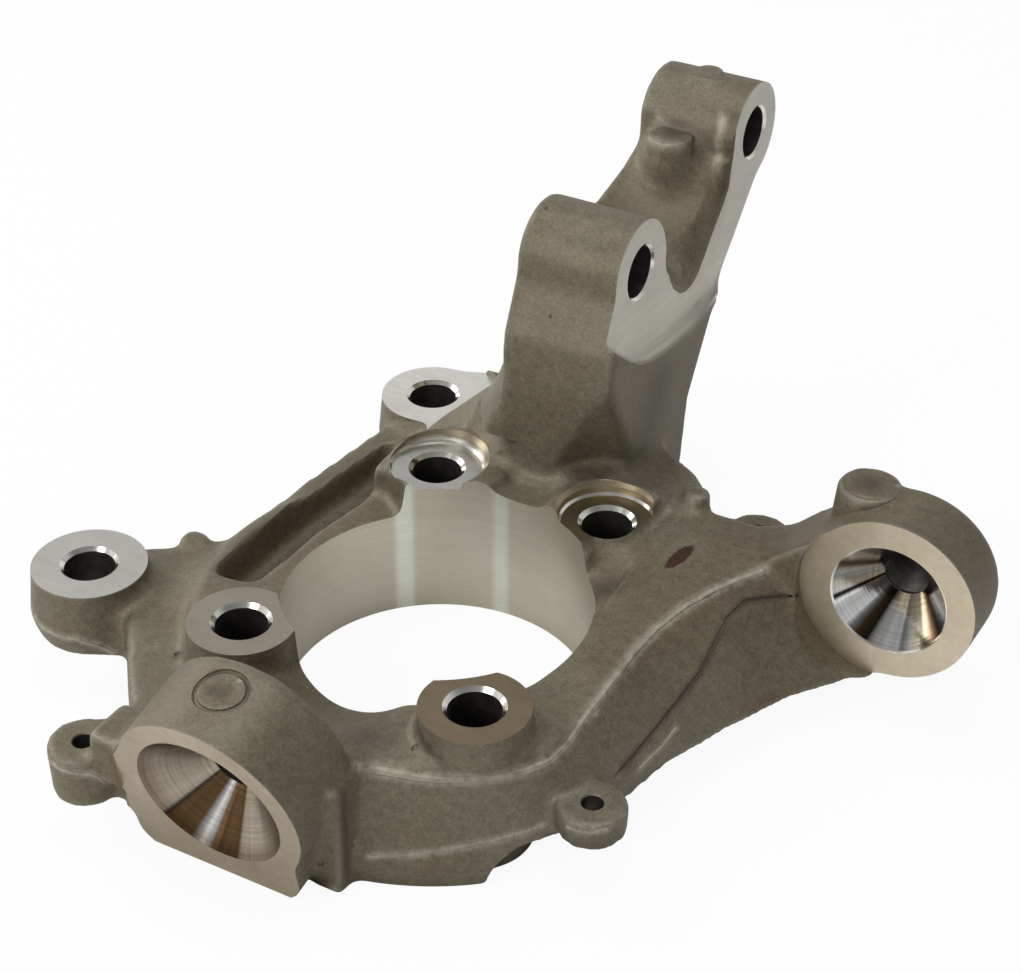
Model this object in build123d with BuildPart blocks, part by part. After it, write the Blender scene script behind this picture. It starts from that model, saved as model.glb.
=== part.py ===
"""Front steering knuckle: one light alloy casting with machined bores, pads and seats.

Axes, millimetres: the hub bore runs along Z, with the bearing face at Z = 0 and the
inboard side up. +Y points to the strut, +X to the tie rod. The raw casting is made
first, sub-part by sub-part, and then machined, as the real one is. Every size and
outline is named in this first part of the file.
"""
import os
from math import cos, radians, sin

from build123d import *

# Hub bearing seat
bore_d = 80.0                # bearing bore, through the ring
bearing_flange_r = 57.0      # flat round the bore that the bearing bolts to
pad_z = 38.3                 # inboard pads of the four hub bolts
bolt_circle_r = 50.5
upper_bolt_angle = 59.4      # above +X and above -X
lower_bolt_angle = 49.2      # below +X and below -X
bolt_hole_d = 13.2
bolt_boss_r = 14.7
spot_face_r = 12.7           # upper pads, sunk in the foot of the strut arm
spot_face_height = 10.0
collar_r = 17.5              # cast collar round an upper pad
collar_top_z = 41.6
left_collar_shift = (3.5, 2)  # the left collar sits closer to the strut arm

# Ring
ring_r = 68.0                # at the parting line
parting_z = 9.8
ring_top_z = 30.5
ring_draft_r = 3.6           # how far the wall leans in, from the parting line to the top
ring_round = 3.0             # slope at the wall's top
side_cut_low_y = -40.0       # flat on the ring's right side, from here
side_cut_high_y = 15.0       # to here; its two sections follow, X and Z
side_cut_low = [(50.5, 30.5), (60.5, 14), (60.5, 0), (80, 0), (80, 40), (50.5, 40)]
side_cut_high = [(53.5, 32), (70, 14), (70, 0), (90, 0), (90, 40), (53.5, 40)]
scoop_r = 26.0               # scoop in the ring's top, between the two lower bolts
scoop_angle = -96.0
scoop_z = 24.0               # its lowest point, at the bore
scoop_rise = 18.0            # degrees, outwards
flange_r = 69.8              # lower flange, round the outboard edge
flange_start = -128.0
flange_end = -37.5
flange_ramp_r = 16.0         # hollow run-out at the flange's end

# Foot of the strut arm, X and Y
foot_top_z = 38.0
foot_outline = [(-42, 34), (42, 34), (45, 62), (44, 69), (36, 77), (20, 86), (-17, 88), (-42, 52)]
foot_right_z = 36.2          # lower ground to the right of the right upper bolt
foot_right_outline = [(24.5, 20), (60, 20), (60, 57), (34.5, 57), (34.5, 50), (33, 44), (29.4, 39.1),
                      (24.5, 36)]
foot_slope_x = 27.0          # in front of it, a slope down to the ring, Y and Z
foot_slope = [(15, 28), (30.5, 28), (31.5, 30.5), (36.5, 36.2), (36.5, 60), (15, 60)]

# Caliper ears and the webs and ribs that carry them, X and Y
caliper_z = 32.0
upper_ear = (-50.8, 83.3)
lower_ear = (-85.8, -31.0)
upper_ear_r = 16.0
lower_ear_r = 16.4
ear_hole_d = 13.2
ear_bottom_z = 12.5
ear_parting_z = 19.0
web_bottom_z = 9.0
web_top_z = 19.0
web_outline = [(-50, -40), (-64, -30), (-64.5, -3), (-62.7, 15), (-60.5, 50), (-57.5, 72), (-44, 84),
               (-12, 96), (-10, 50), (-40, 20)]
pocket_outline = [(-58, -16), (-57, 20), (-52, 62), (-42.5, 58), (-42, 30), (-45, 12), (-46, -14)]
pocket_corner_r = 3.0
rib_top_z = 28.0
rib_width = 8.0
rib_line = [(-60, -30), (-60.5, -3), (-58.2, 33), (-53.5, 72)]
lower_neck_top_z = 27.0
lower_neck_outline = [(-81, -45), (-69, -39), (-58, -51), (-44, -30), (-54, 6), (-66, 2), (-77, -8.5),
                      (-90, -17)]
upper_neck_top_z = 28.0
upper_neck_outline = [(-62, 78), (-50, 60), (-20, 60), (-8, 103), (-45, 103), (-59, 95)]
back_rib_top_z = 34.0
back_rib_outline = [(-56, 90), (-44, 89), (-8, 90), (-8, 101.5), (-44, 101.5), (-57, 96)]
gusset_front_y = 89.0        # gusset from the back rib up the strut arm; its outline is X and Z
gusset_width = 13.0
gusset_outline = [(-44, 30), (-36, 34), (-26, 41), (-17, 54), (-13, 74), (-12.8, 82), (-5, 82), (-5, 30)]
lower_web_bottom_z = 10.5
lower_web_top_z = 26.0
lower_web_outline = [(-40, -25), (-64, -30), (-70.5, -38), (-59, -53), (-48, -66), (-52, -76), (-34, -84),
                     (-18, -72), (-20, -45)]

# Strut clamp arm: the holes' places in Y and Z, and its side outline from them
clamp_face_x = 18.3          # machined face
clamp_stock = 3.0            # what is milled off
arm_left_x = -11.0
arm_corner_x = 11.0          # where the back corner starts to lean away
arm_front_y = 50.5
strut_low_y = 73.3
strut_low_z = 95.7
strut_high_y = 142.2
strut_high_z = 106.3
strut_hole_d = 14.0
lobe_low_r = 14.2
lobe_high_r = 14.1
arm_bottom_z = parting_z - 2
arm_front = [(arm_front_y, arm_bottom_z), (arm_front_y, strut_low_z - 29.7),
             (arm_front_y + 2, strut_low_z - 15.7), (strut_low_y - 13.3, strut_low_z + 0.3),
             (strut_low_y, strut_low_z + 10.3), (strut_low_y + 18.7, strut_low_z + 5.3),
             (strut_low_y + 27.7, strut_low_z + 0.3), (strut_high_y - 23.2, strut_high_z - 7.8),
             (strut_high_y - 12.2, strut_high_z - 2.3), (strut_high_y, strut_high_z + 10.7)]
arm_back = [(strut_high_y + 10.8, strut_high_z - 6.3), (strut_high_y - 10.2, strut_high_z - 28.8),
            (121.5, 63), (111, 43), (106, arm_bottom_z)]
arm_back_right = [(strut_high_y + 10.8, strut_high_z - 6.3), (strut_high_y - 11.2, strut_high_z - 28.3),
                  (115, 65), (101, 43), (96, arm_bottom_z)]

# Valley between the clamp lobes, shallow at the left and deep at the clamp face
valley_top_z = strut_high_z + 28
valley_shallow = [(strut_low_y + 10.7, valley_top_z), (strut_low_y + 14.7, strut_low_z + 9.3),
                  (strut_low_y + 27.7, strut_low_z + 0.8), (strut_high_y - 23.2, strut_high_z - 7.3),
                  (strut_high_y - 13.2, strut_high_z - 3.8), (strut_high_y - 12.2, valley_top_z)]
valley_deep = [(strut_low_y + 14.7, valley_top_z), (strut_low_y + 14.9, strut_low_z - 9.7),
               (strut_low_y + 26.2, strut_low_z - 22.7), (strut_high_y - 22.2, strut_high_z - 12.3),
               (strut_high_y - 14.7, strut_high_z - 1.8), (strut_high_y - 12.2, valley_top_z)]
valley_floor_r = 5.5

# Lower edge of the milled clamp face, Y and Z
clamp_border = [(arm_front_y - 4.5, 90), (56.3, 80.5), (67.8, 71.7), (84.1, 66.8), (102.8, 65), (118, 66.5),
                (130, 72), (strut_high_y + 7.8, 80), (strut_high_y + 27.8, 85)]

# Clearance for the wrench round the right upper bolt, a cone in the arm's corner
wrench_low_z = 42.0
wrench_high_z = 73.0
wrench_low_r = 22.2
wrench_high_r = 8.0

# Tie rod seat, and the sections of the steering arm that leads to it: Y, then X and Z
tie_x = 101.0
tie_y = 50.6
tie_z = 35.9
tie_boss_r = 22.8
tie_boss_length = 21.0
tie_boss_round = 5.0
tie_nut_boss_r = 14.0        # boss for the nut, behind
tie_nut_boss_length = 6.0
tie_mouth_r = 15.5
tie_cone_depth = 13.0
tie_hole_d = 11.8
tie_knob = (88.2, 64.5)
tie_knob_r = 8.4
tie_knob_z = 59.3
steering_sections = [
    (-30, [(38, 30), (50.7, 30), (57, 22), (60, 12), (57, 8), (38, 8)]),
    (12, [(38, 33), (55, 33), (66.8, 24.5), (75.5, 11), (62, 8.5), (38, 8)]),
    (32, [(38, 35.5), (61, 35.5), (69, 31), (84.7, 10.5), (62, 8.5), (38, 8)]),
    (tie_y, [(38, 37.5), (70, 37.5), (78, 30), (98.5, 10.5), (62, 8.5), (38, 8)]),
]
steering_end = [(38, 37.5), (68, 38), (86, 53), (101, 36), (98.5, 10.5), (60, 8.5), (38, 8)]
steering_trim_z = 22.5       # above this the arm's end is cut back to the next outline, X and Y
steering_trim = [(30, 63), (60, 63), (67, 68), (90, 76), (90, 110), (30, 110)]

# Ball joint seat
ball_x = -10.3
ball_y = -85.8
ball_z = 26.1
ball_tilt = 12.0             # degrees, steering axis to the bearing face
ball_boss_r = 25.0
ball_boss_length = 24.0
ball_skirt = (-2, -13.5)     # the boss goes on downwards as a block with round corners
ball_skirt_size = (46, 28)
ball_skirt_corner_r = 7.0
ball_mouth_r = 19.5
ball_cone_depth = 12.0
ball_hole_d = 14.0
ball_hole_depth = 30.0
ball_block = (4.5, -63.5)    # block between the boss and the flange
ball_block_size = (19, 18)
ball_block_top_z = 29.0

# Dust shield ears: X, Y, top
shield_ears = [(63.2, -35.7, 19.8), (-49.0, -82.0, 25.8), (53.0, 81.0, 21.8)]
shield_ear_r = 8.4
shield_hole_d = 5.4
shield_bottom_z = 11.5
back_ear_web = [(30, 60), (62, 58), (61, 82), (46, 87), (24, 84)]
back_ear_web_height = 9.0

# Pads left by the ejector pins: X, Y, radius, lowest and highest point
raised_pads = [(0.6, 126.9, 7.5, 96.0, 107.0), (2.8, 141.5, 4.5, 112.0, 121.0), (42.0, 63.5, 3.5, 30.0, 41.5),
               (-72.5, -4.0, 4.0, 16.5, 28.0)]
sunk_pad = (-11.3, -78.4, 6.7, 52.6, 60.0)

# Draft and machining
draft = 2.0                  # degrees, on most cast walls
sunk = 3.0                   # how far a sub-part reaches into its neighbour
stock = 2.0                  # metal on a cast face that is milled off
over = 60.0                  # how far a cutter runs past the part

bore_r = bore_d / 2
top_r = ring_r - ring_draft_r


def polar(radius, angle):
    return (radius * cos(radians(angle)), radius * sin(radians(angle)))


upper_bolts = [polar(bolt_circle_r, upper_bolt_angle), polar(bolt_circle_r, 180 - upper_bolt_angle)]
lower_bolts = [polar(bolt_circle_r, -lower_bolt_angle), polar(bolt_circle_r, lower_bolt_angle - 180)]

# The ring that holds the hub bearing
with BuildPart() as ring:
    with BuildSketch(Plane.XZ) as ring_section:
        with BuildLine():
            Polyline(
                (bore_r - sunk, 0), (bearing_flange_r, 0), (bearing_flange_r, parting_z - 2),
                (ring_r - 0.4, parting_z - 2), (ring_r, parting_z), (top_r, ring_top_z - ring_round),
                (top_r - ring_round, ring_top_z), (bore_r - sunk, ring_top_z), close=True,
            )
        make_face()
    revolve(axis=Axis.Z)
    for cut_y, outline in ((side_cut_low_y, side_cut_low), (side_cut_high_y, side_cut_high)):
        with BuildSketch(Plane.XZ.offset(-cut_y)):
            with BuildLine():
                Polyline(*outline, close=True)
            make_face()
    loft(ruled=True, mode=Mode.SUBTRACT)

with BuildPart() as flange:
    with BuildSketch() as flange_plan:
        with BuildLine():
            Line((0, 0), polar(flange_r, flange_start))
            CenterArc((0, 0), flange_r, flange_start, flange_end - flange_start)
            Line(polar(flange_r, flange_end), (0, 0))
        make_face()
    extrude(amount=parting_z, taper=2 * draft)
    with Locations(Plane(origin=(0, 0, parting_z - flange_ramp_r), z_dir=(*polar(1, flange_end), 0))):
        Cylinder(flange_ramp_r, 2 * over, mode=Mode.SUBTRACT,
                 align=(Align.CENTER, Align.CENTER, Align.MIN))

with BuildPart() as lower_bosses:
    with BuildSketch() as lower_plan:
        with Locations(*lower_bolts):
            Circle(bolt_boss_r)
    extrude(amount=pad_z + stock, taper=0.75 * draft)

# Foot of the strut arm, with the collars of the two upper bolts
with BuildPart() as foot:
    with BuildSketch(Plane.XY.offset(arm_bottom_z)) as foot_plan:
        with BuildLine():
            Polyline(*foot_outline, close=True)
        make_face()
    extrude(amount=foot_top_z - arm_bottom_z, taper=draft)
    with BuildSketch(Plane.XY.offset(parting_z)) as collar_plan:
        with Locations(upper_bolts[0], (upper_bolts[1][0] + left_collar_shift[0],
                                        upper_bolts[1][1] + left_collar_shift[1])):
            Circle(collar_r)
    extrude(amount=collar_top_z - parting_z, taper=draft)
    with BuildSketch(Plane.XY.offset(foot_right_z)) as foot_right_plan:
        with BuildLine():
            Polyline(*foot_right_outline, close=True)
        make_face()
    extrude(amount=over, mode=Mode.SUBTRACT)
    with BuildSketch(Plane.YZ.offset(foot_slope_x)) as foot_slope_side:
        with BuildLine():
            Polyline(*foot_slope, close=True)
        make_face()
    extrude(amount=over, mode=Mode.SUBTRACT)

# Strut arm, drawn from the side; its back edge leans away towards the clamp face
with BuildPart() as strut_arm:
    for x, back in ((arm_left_x, arm_back), (arm_corner_x, arm_back),
                    (clamp_face_x + clamp_stock, arm_back_right)):
        with BuildSketch(Plane.YZ.offset(x)):
            with BuildLine():
                Polyline(*arm_front, *back, close=True)
            make_face()
    loft(ruled=True)
    with BuildSketch(Plane.YZ.offset(arm_left_x)) as lobes:
        with Locations((strut_low_y, strut_low_z)):
            Circle(lobe_low_r)
        with Locations((strut_high_y, strut_high_z)):
            Circle(lobe_high_r)
    extrude(amount=clamp_face_x + clamp_stock - arm_left_x)
    with Locations((*upper_bolts[0], wrench_low_z)):
        Cone(wrench_low_r, wrench_high_r, wrench_high_z - wrench_low_z, mode=Mode.SUBTRACT,
             align=(Align.CENTER, Align.CENTER, Align.MIN))

with BuildPart() as valley:
    for x, outline in ((arm_left_x - 2, valley_shallow), (clamp_face_x + clamp_stock + 2, valley_deep)):
        with BuildSketch(Plane.YZ.offset(x)):
            with BuildLine():
                Polyline(*outline, close=True)
            make_face()
    loft(ruled=True)
    valley_floor = valley.edges().filter_by(lambda edge: edge.length > clamp_face_x + clamp_stock - arm_left_x)
    fillet(valley_floor.sort_by(Axis.Z)[0], valley_floor_r)

# Webs and ribs out to the caliper ears: outline, bottom, top and draft of each
with BuildPart() as caliper_web:
    for outline, bottom, top, angle in (
        (web_outline, web_bottom_z, web_top_z, 0),
        (lower_neck_outline, ear_bottom_z, lower_neck_top_z, 1.5 * draft),
        (upper_neck_outline, ear_bottom_z, upper_neck_top_z, 1.5 * draft),
        (back_rib_outline, ear_bottom_z, back_rib_top_z, 1.5 * draft),
        (lower_web_outline, lower_web_bottom_z, lower_web_top_z, 1.5 * draft),
    ):
        with BuildSketch(Plane.XY.offset(bottom)):
            with BuildLine():
                Polyline(*outline, close=True)
            make_face()
        extrude(amount=top - bottom, taper=angle)
    with BuildSketch(Plane.XY.offset(web_bottom_z)) as rib_plan:
        with BuildLine():
            Polyline(*rib_line)
        trace(line_width=rib_width)
    extrude(amount=rib_top_z - web_bottom_z, taper=draft)
    with BuildSketch(Plane.XZ.offset(-gusset_front_y)) as gusset_side:
        with BuildLine():
            Polyline(*gusset_outline, close=True)
        make_face()
    extrude(amount=-gusset_width)

with BuildPart() as ears:
    for height, angle in ((caliper_z + stock, 3 * draft), (ear_bottom_z, 9 * draft)):
        with BuildSketch(Plane.XY.offset(ear_parting_z)):
            with Locations(upper_ear):
                Circle(upper_ear_r)
            with Locations(lower_ear):
                Circle(lower_ear_r)
        extrude(amount=height - ear_parting_z, taper=angle)

# Steering arm, from the ring to the tie rod seat
with BuildPart() as steering_arm:
    for y, outline in steering_sections:
        with BuildSketch(Plane.XZ.offset(-y)):
            with BuildLine():
                Polyline(*outline, close=True)
            make_face()
    loft(ruled=True)
    with BuildSketch(Plane.XZ.offset(-tie_y)) as steering_end_plan:
        with BuildLine():
            Polyline(*steering_end, close=True)
        make_face()
    extrude(amount=-(tie_boss_length - 1), taper=draft / 2)
    with BuildSketch(Plane.XY.offset(steering_trim_z)) as steering_trim_plan:
        with BuildLine():
            Polyline(*steering_trim, close=True)
        make_face()
    extrude(amount=over, mode=Mode.SUBTRACT)

with BuildPart() as tie_boss:
    with BuildSketch(Plane.XZ.offset(stock - tie_y)) as tie_plan:
        with Locations((tie_x, tie_z)):
            Circle(tie_boss_r)
    extrude(amount=-(tie_boss_length + stock), taper=-draft / 2)
    fillet(tie_boss.edges().sort_by(Axis.Y)[-1], tie_boss_round)
    with BuildSketch(Plane.XZ.offset(sunk - tie_y - tie_boss_length)) as nut_boss_plan:
        with Locations((tie_x, tie_z)):
            Circle(tie_nut_boss_r)
    extrude(amount=-(tie_nut_boss_length + sunk), taper=draft)
    with BuildSketch(Plane.XY.offset(tie_z)) as knob_plan:
        with Locations(tie_knob):
            Circle(tie_knob_r)
    extrude(amount=tie_knob_z - tie_z, taper=draft)

# Ball joint seat: its plane leans by the angle of the steering axis
ball_plane = Plane(origin=(ball_x, ball_y, ball_z), x_dir=(1, 0, 0),
                   z_dir=(0, -cos(radians(ball_tilt)), -sin(radians(ball_tilt))))
with BuildPart() as ball_boss:
    with BuildSketch(ball_plane.offset(stock)) as ball_plan:
        Circle(ball_boss_r)
        with Locations(ball_skirt):
            RectangleRounded(*ball_skirt_size, ball_skirt_corner_r)
    extrude(amount=-(ball_boss_length + stock))
    with BuildSketch(Plane.XY) as ball_block_plan:
        with Locations(ball_block):
            RectangleRounded(*ball_block_size, 2)
    extrude(amount=ball_block_top_z, taper=draft / 2)

with BuildPart() as shield_mounts:
    for x, y, top in shield_ears:
        with BuildSketch(Plane.XY.offset(shield_bottom_z)) as ear_round:
            with Locations((x, y)):
                Circle(shield_ear_r)
        extrude(amount=top - shield_bottom_z, taper=-draft)
    with BuildSketch(Plane.XY.offset(shield_bottom_z - 1)) as back_ear_plan:
        with BuildLine():
            Polyline(*back_ear_web, close=True)
        make_face()
    extrude(amount=back_ear_web_height)

with BuildPart() as ejector_pads:
    for x, y, radius, bottom, top in raised_pads:
        with BuildSketch(Plane.XY.offset(bottom)):
            with Locations((x, y)):
                Circle(radius)
        extrude(amount=top - bottom)

with BuildPart() as ejector_mark:
    with Locations((sunk_pad[0], sunk_pad[1], sunk_pad[3])):
        Cylinder(sunk_pad[2], sunk_pad[4] - sunk_pad[3], align=(Align.CENTER, Align.CENTER, Align.MIN))

# Pocket between the outer rib and the bore
with BuildPart() as web_pocket:
    with BuildSketch(Plane.XY.offset(web_top_z)) as pocket_plan:
        with BuildLine():
            Polyline(*pocket_outline, close=True)
        make_face()
        fillet(pocket_plan.vertices(), pocket_corner_r)
    extrude(amount=over, taper=-2 * draft)

# Scoop in the ring's top, at the lower side
scoop_x, scoop_y = polar(bore_r, scoop_angle)
scoop_out = cos(radians(scoop_rise))
scoop_axis = Plane(origin=(scoop_x, scoop_y, scoop_z + scoop_r / scoop_out),
                   z_dir=(*polar(scoop_out, scoop_angle), sin(radians(scoop_rise))))
with BuildPart() as rim_scoop:
    with Locations(scoop_axis):
        Cylinder(scoop_r, 2 * over)

# The raw casting
with BuildPart() as knuckle:
    add(ring.part)
    add(flange.part)
    add(rim_scoop.part, mode=Mode.SUBTRACT)
    add(foot.part)
    add(strut_arm.part)
    add(valley.part, mode=Mode.SUBTRACT)
    add(caliper_web.part)
    add(steering_arm.part)
    add(web_pocket.part, mode=Mode.SUBTRACT)
    add(lower_bosses.part)
    add(ears.part)
    add(tie_boss.part)
    add(ball_boss.part)
    add(shield_mounts.part)
    add(ejector_pads.part)
    add(ejector_mark.part, mode=Mode.SUBTRACT)

    # Bearing face and bore
    with BuildSketch(Plane.XY):
        Circle(5 * over)
    extrude(amount=-over, mode=Mode.SUBTRACT)
    Hole(bore_r)

    # Pads of the hub bolts and of the caliper ears
    with BuildSketch(Plane.XY.offset(pad_z)):
        with Locations(*lower_bolts):
            Circle(bolt_boss_r + stock)
    extrude(amount=over, mode=Mode.SUBTRACT)
    with BuildSketch(Plane.XY.offset(pad_z)):
        with Locations(*upper_bolts):
            Circle(spot_face_r)
    extrude(amount=spot_face_height, mode=Mode.SUBTRACT)
    with BuildSketch(Plane.XY.offset(caliper_z)):
        with Locations(upper_ear):
            Circle(upper_ear_r)
        with Locations(lower_ear):
            Circle(lower_ear_r)
    extrude(amount=over, mode=Mode.SUBTRACT)
    with BuildSketch(Plane.XY.offset(-1)):
        with Locations(*lower_bolts, *upper_bolts):
            Circle(bolt_hole_d / 2)
        with Locations(upper_ear, lower_ear):
            Circle(ear_hole_d / 2)
        with Locations(*[(x, y) for x, y, top in shield_ears]):
            Circle(shield_hole_d / 2)
    extrude(amount=over, mode=Mode.SUBTRACT)

    # Clamp face and strut bolt holes
    with BuildSketch(Plane.YZ.offset(clamp_face_x)) as clamp_plan:
        with BuildLine():
            lower_border = Spline(*clamp_border)
            Polyline(lower_border @ 1, (clamp_border[-1][0], valley_top_z), (clamp_border[0][0], valley_top_z),
                     lower_border @ 0)
        make_face()
    extrude(amount=2 * clamp_stock, mode=Mode.SUBTRACT)
    with BuildSketch(Plane.YZ.offset(clamp_face_x + 1)):
        with Locations((strut_low_y, strut_low_z), (strut_high_y, strut_high_z)):
            Circle(strut_hole_d / 2)
    extrude(amount=-over, mode=Mode.SUBTRACT)

    # Tie rod seat: face, cone and hole
    with BuildSketch(Plane.XZ.offset(-tie_y)):
        with Locations((tie_x, tie_z)):
            Circle(tie_boss_r + 1)
    extrude(amount=over, mode=Mode.SUBTRACT)
    tie_axis = Plane(origin=(tie_x, tie_y, tie_z), x_dir=(1, 0, 0), z_dir=(0, -1, 0))
    with Locations(tie_axis.offset(-tie_cone_depth / 2)):
        Cone(tie_hole_d / 2, tie_mouth_r, tie_cone_depth, mode=Mode.SUBTRACT)
    with Locations(tie_axis):
        Cylinder(tie_hole_d / 2, over, mode=Mode.SUBTRACT)

    # Ball joint seat: face, cone and blind hole
    with BuildSketch(ball_plane):
        Circle(ball_boss_r + stock)
        with Locations(ball_skirt):
            Rectangle(ball_skirt_size[0] + stock, ball_skirt_size[1] + stock)
    extrude(amount=2 * stock, mode=Mode.SUBTRACT)
    with Locations(ball_plane.offset(-ball_cone_depth / 2)):
        Cone(ball_hole_d / 2, ball_mouth_r, ball_cone_depth, mode=Mode.SUBTRACT)
    with Locations(ball_plane.offset(-ball_hole_depth / 2)):
        Cylinder(ball_hole_d / 2, ball_hole_depth, mode=Mode.SUBTRACT)

knuckle.part.label = "knuckle"
os.makedirs("parts", exist_ok=True)
export_step(knuckle.part, "parts/knuckle.step")
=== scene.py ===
import math

import bmesh
import bpy
from mathutils import Matrix, Vector
from mathutils.bvhtree import BVHTree
from mathutils.kdtree import KDTree


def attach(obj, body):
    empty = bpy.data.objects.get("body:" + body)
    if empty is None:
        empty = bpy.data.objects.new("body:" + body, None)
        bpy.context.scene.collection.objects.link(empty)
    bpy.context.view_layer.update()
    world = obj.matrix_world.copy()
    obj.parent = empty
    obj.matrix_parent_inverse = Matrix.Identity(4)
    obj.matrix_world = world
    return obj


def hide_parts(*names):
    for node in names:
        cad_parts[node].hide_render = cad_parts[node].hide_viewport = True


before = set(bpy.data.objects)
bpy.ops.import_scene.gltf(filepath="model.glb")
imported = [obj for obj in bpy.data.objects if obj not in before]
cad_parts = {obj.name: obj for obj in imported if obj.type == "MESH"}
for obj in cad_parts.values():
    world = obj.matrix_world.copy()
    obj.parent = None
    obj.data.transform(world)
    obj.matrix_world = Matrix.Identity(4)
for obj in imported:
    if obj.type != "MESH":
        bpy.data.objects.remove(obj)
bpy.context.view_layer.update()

mm = 0.001
knuckle_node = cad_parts["knuckle"]

# ---------------------------------------------------------------- sizes shared with the CAD source
bore_r = 40.0
pad_z = 38.3
upper_pads = [(25.706, 43.467), (-25.706, 43.467)]
lower_pads = [(32.998, -38.228), (-32.998, -38.228)]
collar_top_z = 41.6
hub_hole_r = 6.6
spot_face_r = 12.7
caliper_pads = [(-50.8, 83.3), (-85.8, -31.0)]
caliper_z = 32.0
clamp_face_x = 18.3
clamp_border = [(40, 97), (46, 90), (51, 85), (56.3, 80.5), (62, 75.8), (67.8, 71.7), (75.5, 68.6),
                (84.1, 66.8), (93, 65.7), (102.8, 65.0), (111, 65.3), (118, 66.5), (124, 68.8), (130, 72),
                (140, 76.5), (150, 80), (175, 87)]
lobes = [(73.3, 95.7), (142.2, 106.3)]
strut_hole_r = 7.0
tie_seat = (101.0, 50.6, 35.9)
tie_cutter_r = 23.9
tie_mouth_r, tie_cone_depth, tie_hole_r = 15.5, 13.0, 5.9
ball_seat = (-10.3, -85.8, 26.1)
ball_tilt = math.radians(12)
ball_mouth_r, ball_cone_depth, ball_hole_r, ball_hole_depth = 19.5, 12.0, 7.0, 30.0
ball_face_outline = [(-26.5, -30), (26, -30), (26, -12), (27.5, 0), (25, 11), (19, 20), (10, 26), (0, 28),
                     (-10, 26), (-19, 20), (-25, 11), (-26.5, 0)]
shield_ears = [(63.2, -35.7, 19.8), (-49.0, -82.0, 25.8), (53.0, 81.0, 21.8)]
shield_hole_r = 2.7

# sizes of the casting before it is machined, and of the tools
stock = 3.2                 # what stands on a face before it is machined
plug_gap = 0.5              # how much wider than its hole a plug in the raw casting is
drill_reach = 60.0          # deeper than any hole that goes right through
hub_edge, caliper_edge, strut_edge = 1.1, 1.0, 0.7     # widths of the holes' broken edges
hub_cutter_r, caliper_cutter_r = 18.0, 19.0            # the mills that face the pads
clamp_mill_corner = 2.7     # radius that the mill leaves along the clamp face's border
tie_hole_depth, thread_pitch = 40.0, 1.25

tie_axis = Vector((0, -1, 0))
ball_axis = Vector((0, -math.cos(ball_tilt), -math.sin(ball_tilt)))
up = Vector((0, 0, 1))
lying = Matrix.Identity(4)  # for an outline in x and y
upright = Matrix(((1, 0, 0, 0), (0, 0, -1, 0), (0, 1, 0, 0), (0, 0, 0, 1)))     # for an outline in x and z
sideways = Matrix(((0, 0, 1, 0), (1, 0, 0, 0), (0, 1, 0, 0), (0, 0, 0, 1)))     # for an outline in y and z

# finishes of the knuckle, in the order of its slots
CAST, MACHINED, BORE_WALL, TIE_CONE, BALL_CONE, HOLE_PAINTED_SHADE, CLAMP, SEAT, CHAMFER, BALL_FACE = range(10)


# ---------------------------------------------------------------- small helpers
def stand(origin, axis, x_dir=None):
    """Where a shape drawn round its own +Z goes: origin in mm, +Z along axis."""
    axis = Vector(axis).normalized()
    if x_dir is None:
        x_dir = Vector((1, 0, 0)) if abs(axis.x) < 0.9 else Vector((0, 1, 0))
    x_dir = (Vector(x_dir) - axis * axis.dot(Vector(x_dir))).normalized()
    y_dir = axis.cross(x_dir)
    turn = Matrix((x_dir, y_dir, axis)).transposed().to_4x4()
    return Matrix.Translation(Vector(origin) * mm) @ turn


def new_object(name, bm, slots=()):
    mesh = bpy.data.meshes.new(name)
    bm.to_mesh(mesh)
    bm.free()
    obj = bpy.data.objects.new(name, mesh)
    bpy.context.scene.collection.objects.link(obj)
    for finish in slots:
        mesh.materials.append(finish)
    return obj


def turned(bm, profile, place, steps=64):
    """A closed turned solid over a profile of points (radius, height, finish of the wall ending there)."""
    faces = []
    for start, end in zip(profile, profile[1:]):
        known = set(bm.faces)
        pair = [bm.verts.new((point[0] * mm, 0, point[1] * mm)) for point in (start, end)]
        line = bm.edges.new(pair)
        bmesh.ops.spin(bm, geom=pair + [line], cent=(0, 0, 0), axis=(0, 0, 1), angle=math.tau,
                       steps=steps, use_merge=True)
        band = [f for f in bm.faces if f not in known]
        for f in band:
            f.material_index = end[2] if len(end) > 2 else CAST
        faces += band
    bmesh.ops.remove_doubles(bm, verts=list({v for f in faces for v in f.verts}), dist=1e-7)
    faces = [f for f in faces if f.is_valid]
    bmesh.ops.recalc_face_normals(bm, faces=faces)
    bmesh.ops.transform(bm, matrix=place, verts=list({v for f in faces for v in f.verts}))


def prism(bm, outline, place, low, high, finish=CAST):
    """A straight prism over an outline in mm, between two heights. Gives its lower points."""
    verts = [bm.verts.new((x * mm, y * mm, low * mm)) for x, y in outline]
    base = bm.faces.new(verts)
    made = bmesh.ops.extrude_face_region(bm, geom=[base])["geom"]
    top = [g for g in made if isinstance(g, bmesh.types.BMVert)]
    bmesh.ops.translate(bm, verts=top, vec=(0, 0, (high - low) * mm))
    faces = list({f for v in verts + top for f in v.link_faces})
    bmesh.ops.recalc_face_normals(bm, faces=faces)
    for f in faces:
        f.material_index = finish
    bmesh.ops.transform(bm, matrix=place, verts=verts + top)
    return verts


def loft(bm, rings):
    """A closed body through rings of points in mm that all have the same number of points."""
    loops = [[bm.verts.new(Vector(point) * mm) for point in ring] for ring in rings]
    for low, high in zip(loops, loops[1:]):
        for i in range(len(low)):
            bm.faces.new((low[i - 1], low[i], high[i], high[i - 1]))
    bm.faces.new(loops[0])
    bm.faces.new(loops[-1])
    bmesh.ops.recalc_face_normals(bm, faces=bm.faces)


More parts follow.
